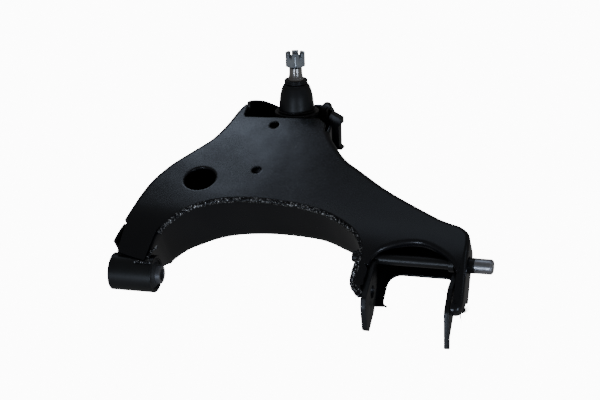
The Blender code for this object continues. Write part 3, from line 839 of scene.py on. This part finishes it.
# ---------------------------------------------------------------- front bush
# A steel tube welded across the leg's end, with a rubber bush pressed in. The rubber is
# bonded to an inner sleeve, which stands proud at both ends and takes the pivot bolt.

black_part = material_of("black_part", dipped_coat, 0, Tint=(0.008, 0.0085, 0.0095, 1), Gloss=0.38,
                         Waves=0.0002, Peel=0.00004, Dust=0.06)


def machined_finish():
    """Turned steel under a film of oil: tool rings along an axis, and darker oily patches."""
    group, given, result = new_group("machined_steel", (
        ("Tint", "NodeSocketColor", (0.42, 0.42, 0.43, 1)), ("Oil", "NodeSocketColor", (0.1, 0.09, 0.07, 1)),
        ("Gloss", "NodeSocketFloat", 0.3), ("Axis", "NodeSocketVector", (0, 0, 1))))
    place = group.nodes.new("ShaderNodeTexCoord").outputs["Object"]
    along = group.nodes.new("ShaderNodeVectorMath")
    along.operation = "DOT_PRODUCT"
    group.links.new(place, along.inputs[0])
    group.links.new(given.outputs["Axis"], along.inputs[1])
    rings = arithmetic(group, "SINE", arithmetic(group, "MULTIPLY", along.outputs["Value"], 14000.0))
    patches = noise_at(group, place, 90, 3, 0.6)
    group.links.new(mixed(group, mapped(group, patches, 0.45, 0.8, 0.0, 0.7), given.outputs["Tint"],
                          given.outputs["Oil"]), result.inputs["Color"])
    unevenness = mapped(group, patches, 0.3, 0.7, -0.06, 0.1)
    group.links.new(arithmetic(group, "ADD", given.outputs["Gloss"], unevenness), result.inputs["Roughness"])
    group.links.new(raised(group, rings, 0.000006, raised(group, patches, 0.0001)), result.inputs["Normal"])
    return group


def moulded_finish():
    """Moulded rubber or plastic: a fine grain, a dull bloom and slow unevenness."""
    group, given, result = new_group("moulded", (
        ("Tint", "NodeSocketColor", (0.02, 0.02, 0.02, 1)),
        ("Bloom", "NodeSocketColor", (0.06, 0.06, 0.06, 1)),
        ("Gloss", "NodeSocketFloat", 0.5), ("Grain", "NodeSocketFloat", 0.00003)))
    place = group.nodes.new("ShaderNodeTexCoord").outputs["Object"]
    patches = noise_at(group, place, 45, 3, 0.6)
    fine = noise_at(group, place, 1300, 3, 0.6)
    group.links.new(mixed(group, mapped(group, patches, 0.4, 0.75, 0.0, 0.6), given.outputs["Tint"],
                          given.outputs["Bloom"]), result.inputs["Color"])
    unevenness = mapped(group, fine, 0.3, 0.7, -0.06, 0.08)
    group.links.new(arithmetic(group, "ADD", given.outputs["Gloss"], unevenness), result.inputs["Roughness"])
    group.links.new(raised(group, fine, given.outputs["Grain"], raised(group, patches, 0.0002)),
                    result.inputs["Normal"])
    return group


machined_steel = machined_finish()
moulded = moulded_finish()
sleeve_steel = material_of("sleeve_steel", machined_steel, 0.6, Tint=(0.2, 0.2, 0.21, 1),
                           Oil=(0.1, 0.1, 0.1, 1), Gloss=0.4, Axis=(1, 0, 0))
bush_rubber_finish = material_of("bush_rubber_finish", moulded, 0, Tint=(0.035, 0.035, 0.037, 1),
                                 Bloom=(0.06, 0.06, 0.06, 1), Gloss=0.55, Grain=0.00006)


def ring_profile(outer, inner, low, high, chamfer):
    """The section of a tube with chamfered ends."""
    return ((outer, low + chamfer), (outer, high - chamfer), (outer - chamfer, high), (inner + chamfer, high),
            (inner, high - chamfer), (inner, low + chamfer), (inner + chamfer, low), (outer - chamfer, low))


bush_tube = turned("bush_housing", ring_profile(bush_radius, 21.5, -34, 27, 0.7), 96, pivot_axis)
dress(bush_tube, black_part, "arm", "black_paint", "bush_tube")
outer_sleeve = turned("bush_outer_ring", ring_profile(21.2, 19.6, -33.5, 26.5, 0.4), 96, pivot_axis)
dress(outer_sleeve, black_part, "arm", "black_paint", "bush_outer_sleeve")
rubber_side = [(19.3, 24.5), (18.6, 25.3), (17.2, 25.2), (16.2, 25.6), (15.2, 27.6), (14.2, 28.8), (12.8, 29)]
rubber_back = [(radius, -7 - height) for radius, height in reversed(rubber_side)]
bush_rubber = turned("bush_rubber_ring", rubber_side + rubber_back, 96, pivot_axis, 60)
dress(bush_rubber, bush_rubber_finish, "arm", "rubber", "bush_rubber")
inner_sleeve = turned("bush_sleeve", ring_profile(12.5, 7.25, -38, 35, 0.8), 72, pivot_axis)
dress(inner_sleeve, sleeve_steel, "bush_core", "bright_steel", "bush_inner_sleeve")


# ---------------------------------------------------------------- rear fork
# Two thick plates, flame cut, stand inside the fork's ears and take the rear pivot bolt. A
# pin runs across the fork, coated up to its bare end, and carries a link outside.


def prism(name, outline, low, high, matrix):
    """A flat outline given thickness along Z, then placed by a matrix."""
    bm = bmesh.new()
    base = bm.faces.new([bm.verts.new((x, y, low)) for x, y in outline])
    grown = bmesh.ops.extrude_face_region(bm, geom=[base])
    moved = [v for v in grown["geom"] if isinstance(v, bmesh.types.BMVert)]
    bmesh.ops.translate(bm, verts=moved, vec=(0, 0, high - low))
    bmesh.ops.transform(bm, matrix=matrix, verts=bm.verts)
    return finished(bm, name)


pin_steel = material_of("pin_steel", machined_steel, 1, Tint=(0.55, 0.56, 0.6, 1), Oil=(0.3, 0.3, 0.3, 1),
                        Gloss=0.3, Axis=(1, 0, 0))

plate_thickness = 7.5
bolt_hole = 16.5
bare_end = 456.9
across = Matrix(((0, 0, 1, 0), (1, 0, 0, 0), (0, 1, 0, 0), (0, 0, 0, 1)))
left_outline = rounded(((-14, 14.5), (16, 36.5), (21.5, 36.5), (24, 6), (8, -29), (-18, -48.5), (-29, -43),
                        (-35, -10), (-32, 3)), (3, 4, 1, 20, 6, 2, 7, 16, 6), 6)
right_outline = rounded(((-14, 19), (16, 30), (24, 6), (12, -14), (-12, -19), (-32, -41), (-33, -57),
                         (-37.5, -56), (-36, -6)), (3, 5, 10, 6, 8, 6, 1.5, 1.5, 10), 6)
for side, outline, x in (("left", left_outline, 318.8), ("right", right_outline, 430)):
    plate = prism(side + "_plate", outline, x, x + plate_thickness, across)
    bored(plate, bolt_hole / 2, x - 10, x + 16, pivot_axis)
    bored(plate, pin_bore, x - 10, x + 16, pin_axis)
    softened(plate, 1.0, 3, 40)
    dress(plate, black_part, "arm", "black_paint", side + "_pivot_plate")

cross_pin = turned("cross_pin_bar", (
    (0, 291.5), (6.4, 291.5), (7.2, 292.2), (7.4, 293), (7.4, 297.5), (8.9, 297.5), (9.5, 298.1), (9.5, 302),
    (8.9, 302.5), (7.5, 302.5), (7.5, 440.6), (7.9, 441), (9.8, 441), (10.3, 441.5), (10.3, 456.8),
    (10.1, 457), (10.1, 477.4), (8.4, 479.5), (3.2, 479.5), (2.2, 478.3), (0, 477.9)), 72, pin_axis)
dress(cross_pin, black_part, "arm", "zinc", "cross_pin")
cross_pin.data.materials.append(pin_steel)
for face in cross_pin.data.polygons:
    if face.center.x > bare_end * mm:
        face.material_index = 1
pin_collar = turned("pin_collar", ring_profile(10.5, pin_bore, 421.7, 429.7, 0.5), 64, pin_axis)
dress(pin_collar, black_part, "arm", "black_paint", "cross_pin_collar")


# ---------------------------------------------------------------- ball joint
# A steel housing pressed into a collar in the tray, with a ring at its mouth. Inside, acetal
# seats hold the stud's ball. The stud's cone takes the knuckle and its thread takes the nut.

ball_collar = turned("joint_collar", ring_profile(collar_radius, 25.3, 98, 154.7, 0.8), 96, ball_axis)
dress(ball_collar, black_part, "arm", "black_paint", "ball_joint_collar")
housing = turned("joint_housing", (
    (24.2, 110), (25, 110.8), (25, 155), (30.2, 155), (31, 155.6), (31, 157.2), (30.2, 158), (27.4, 158),
    (26.9, 157.4), (18.3, 157.4), (17.5, 158), (17.5, 152), (20, 149), (20, 110)), 96, ball_axis)
dress(housing, black_part, "arm", "black_paint", "ball_joint_housing")

stud_steel = material_of("stud_steel", machined_steel, 1, Tint=(0.5, 0.49, 0.48, 1),
                         Oil=(0.2, 0.18, 0.16, 1), Gloss=0.22, Axis=(0, 0, 1))
ball_angles = [math.radians(a) for a in range(-75, 61, 5)]
stud_bottom = [(17 * math.cos(a), 137 + 17 * math.sin(a)) for a in ball_angles]
stud_shape = [(0, stud_bottom[0][1])] + stud_bottom + [
    (8, 152), (8, 177.5), (8.3, 178.5), (10.6, 188), (11.2, 200), (11.2, 203), (10.2, 206), (9.3, 210),
    (9, 219.5), (7.9, 221)]
thread_low, thread_high, thread_pitch = 221.0, 232.8, 1.5
thread_root, thread_depth = 7.95, 0.95
stud_tip = 234


def stud_mesh():
    """The stud: a turned shape below, and a helical thread above."""
    sides = 72
    bm = bmesh.new()
    rings = [ring_of(bm, radius, height, sides) for radius, height in stud_shape]
    rows = 110
    for row in range(1, rows + 1):
        height = thread_low + (thread_high - thread_low) * row / rows
        fade = min(1, (height - thread_low) / 1.5, (thread_high + 0.4 - height) / 1.2)
        ring = []
        for k in range(sides):
            turn = (height / thread_pitch - k / sides) % 1
            crest = min(1, max(0, 2.3 * abs(turn - 0.5) - 0.08))
            radius = thread_root + thread_depth * crest * max(fade, 0)
            ring.append(bm.verts.new((radius * math.cos(math.tau * k / sides),
                                      radius * math.sin(math.tau * k / sides), height)))
        rings.append(ring)
    rings += [ring_of(bm, radius, stud_tip, sides) for radius in (6.9, 0)]
    stitch(bm, rings)
    bmesh.ops.transform(bm, matrix=ball_axis, verts=bm.verts)
    return finished(bm, "tapered_stud", 30)


ball_stud = stud_mesh()
dress(ball_stud, stud_steel, "stud", "bright_steel", "ball_stud")


def plated_finish():
    """Zinc plate: bluish, with faint yellow patches, fine crystals and drawn marks."""
    group, given, result = new_group("zinc_plate", (
        ("Tint", "NodeSocketColor", (0.6, 0.65, 0.72, 1)), ("Stain", "NodeSocketColor", (0.6, 0.58, 0.45, 1)),
        ("Gloss", "NodeSocketFloat", 0.3)))
    place = group.nodes.new("ShaderNodeTexCoord").outputs["Object"]
    patches = noise_at(group, place, 130, 3, 0.6)
    fine = noise_at(group, place, 2200, 2, 0.6)
    group.links.new(mixed(group, mapped(group, patches, 0.45, 0.75, 0.0, 0.6), given.outputs["Tint"],
                          given.outputs["Stain"]), result.inputs["Color"])
    unevenness = mapped(group, patches, 0.3, 0.7, -0.07, 0.1)
    group.links.new(arithmetic(group, "ADD", given.outputs["Gloss"], unevenness), result.inputs["Roughness"])
    group.links.new(raised(group, fine, 0.00002, raised(group, patches, 0.0002)), result.inputs["Normal"])
    return group


zinc_plate = plated_finish()
bluish_zinc = material_of("bluish_zinc", zinc_plate, 1, Tint=(0.55, 0.62, 0.7, 1),
                          Stain=(0.62, 0.6, 0.5, 1), Gloss=0.3)


# The nut: forged hexagon, chamfered at both ends, slotted on its flats for a split pin.
nut_turn = Matrix.Rotation(math.radians(-72), 4, "Z")
nut_across_flats = 27
nut_low, nut_high = 222.5, 241.5


def nut_mesh():
    """A hexagon whose corners are turned down by a cone at the top and the bottom."""
    bm = bmesh.new()
    sides = 72
    rings = []
    for height in (nut_low, 223.1, 223.8, 224.5, 226, 230, 233, 236, 238, 239.4, 240.4, 241.1, nut_high):
        ring = []
        for k in range(sides):
            angle = math.tau * k / sides
            flat = nut_across_flats / 2 / math.cos((angle % (math.tau / 6)) - math.tau / 12)
            cone = 13.6 + min(height - nut_low, 3) * 1.5
            top = 12.9 + math.sqrt(max(0, nut_high - height)) * 1.5
            radius = min(flat, cone, top)
            ring.append(bm.verts.new((radius * math.cos(angle), radius * math.sin(angle), height)))
        rings.append(ring)
    for radius, height in ((9.4, nut_high), (8.6, nut_high - 0.9), (8.6, nut_low + 0.9), (9.6, nut_low)):
        rings.append(ring_of(bm, radius, height, sides))
    stitch(bm, rings)
    bmesh.ops.transform(bm, matrix=ball_axis @ nut_turn, verts=bm.verts)
    return finished(bm, "slotted_nut", 25)


def bent(centre, radius, first, last, steps):
    """Points along an arc of a profile, between two angles in degrees."""
    angles = [math.radians(first + (last - first) * k / steps) for k in range(steps + 1)]
    return [(centre[0] + radius * math.cos(a), centre[1] + radius * math.sin(a)) for a in angles]


castle_nut = nut_mesh()
slot_outline = [(-2.2, 20), (-2.2, 1.6)] + bent((0, 1.6), 2.2, 180, 360, 8)[1:-1] + [(2.2, 1.6), (2.2, 20)]
for k in range(3):
    upright = Matrix(((0, 0, 1, 0), (1, 0, 0, 0), (0, 1, 0, 235.1), (0, 0, 0, 1)))
    cutter = prism("slot_cutter", slot_outline, -20, 20,
                   ball_axis @ nut_turn @ Matrix.Rotation(math.radians(30 + 60 * k), 4, "Z") @ upright)
    slot = castle_nut.modifiers.new("slot", "BOOLEAN")
    slot.operation = "DIFFERENCE"
    slot.object = cutter
    made_plain(castle_nut, 25)
    bpy.data.objects.remove(cutter, do_unlink=True)
softened(castle_nut, 0.3, angle=40)
dress(castle_nut, bluish_zinc, "stud", "zinc", "castle_nut")

# The boot: a moulded rubber bell clipped to the housing, with a thick lip round the stud.
boot_rubber = material_of("boot_rubber", moulded, 0, Tint=(0.009, 0.009, 0.01, 1),
                          Bloom=(0.02, 0.02, 0.021, 1), Gloss=0.42, Grain=0.00002)
boot_outside = smooth(((24.3, 158.3), (24.3, 161.2), (24.6, 162.5), (24.5, 165), (24, 170), (23.2, 177),
                       (22.2, 183), (20.4, 189.5), (18.3, 194.5), (15.6, 197)), 5)
boot_inside = smooth(((13.4, 196.4), (16.2, 193.4), (18.2, 188.7), (20, 182.4), (21, 176.4), (21.8, 169.4),
                      (22.2, 164), (20.5, 161), (20.5, 158.3)), 4)
dust_boot = turned("rubber_boot", boot_outside + boot_inside, 96, ball_axis, 60)
dust_boot.data.materials.append(boot_rubber)
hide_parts("dust_boot")
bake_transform(dust_boot)
clip_ring = turned("boot_clip", bent((25.5, 159.5), 0.85, 0, 345, 23), 96, ball_axis, 60)
dress(clip_ring, black_part, "arm", "bright_steel", "boot_clip_ring")
top_lip = turned("boot_lip", smooth(((11.5, 197.7), (13, 197.4), (15.6, 197.6), (16.3, 198.6), (16.1, 199.8),
                                     (15.7, 200.4), (16.2, 201.2), (16.1, 202.3), (15.2, 203), (12.6, 203),
                                     (11.5, 202.6), (11.5, 198.4)), 3), 96, ball_axis, 60)
dress(top_lip, boot_rubber, "stud_swing", "rubber", "boot_top_ring")


def refinish(node, finish):
    """A new material on a piece that stays as it was made."""
    piece = nodes[node]
    for socket in piece.material_slots:
        socket.material = finish


acetal = material_of("acetal", moulded, 0, Tint=(0.75, 0.74, 0.68, 1), Bloom=(0.66, 0.65, 0.58, 1),
                     Gloss=0.42, Grain=0.00001)
spring_steel = material_of("spring_steel", machined_steel, 1, Tint=(0.35, 0.35, 0.36, 1),
                           Oil=(0.12, 0.1, 0.07, 1), Gloss=0.3, Axis=(0, 0, 1))
for node, finish in (("upper_ball_seat", acetal), ("lower_ball_seat", acetal),
                     ("preload_spring", spring_steel), ("snap_ring", spring_steel),
                     ("bottom_cap", bluish_zinc)):
    refinish(node, finish)


# ---------------------------------------------------------------- small brackets
# A stop block that meets the knuckle at full lock, and a curled tab for a hose, both cut from
# plate and welded to the tray's wall beside the ball joint.

upright = Matrix(((1, 0, 0, 0), (0, 0, -1, 0), (0, 1, 0, 0), (0, 0, 0, 1)))
stop_block = prism("stop_block", rounded((
    (202, 165), (217, 157), (217, 149), (213.5, 146), (213.5, 117), (217, 115), (217, 112), (202.8, 112),
    (202.8, 145), (198.8, 157)), (1.5, 2, 2, 2, 1, 1, 1, 1, 2, 1.5), 4), -252, -238, upright)
softened(stop_block, 0.8, 3, 40)
dress(stop_block, black_part, "arm", "black_paint", "steering_stop")
hose_tab = prism("curled_tab", [(181, 114), (189, 114), (189, 162.5), (189.6, 163.6), (190.8, 163.6),
                                (191.4, 162.5), (191.4, 160.5), (194.3, 160.5)]
                 + bent((188, 164), 7, 0, 180, 20), -271, -262, upright)
softened(hose_tab, 0.6, 3, 40)
dress(hose_tab, black_part, "arm", "black_paint", "hose_tab")
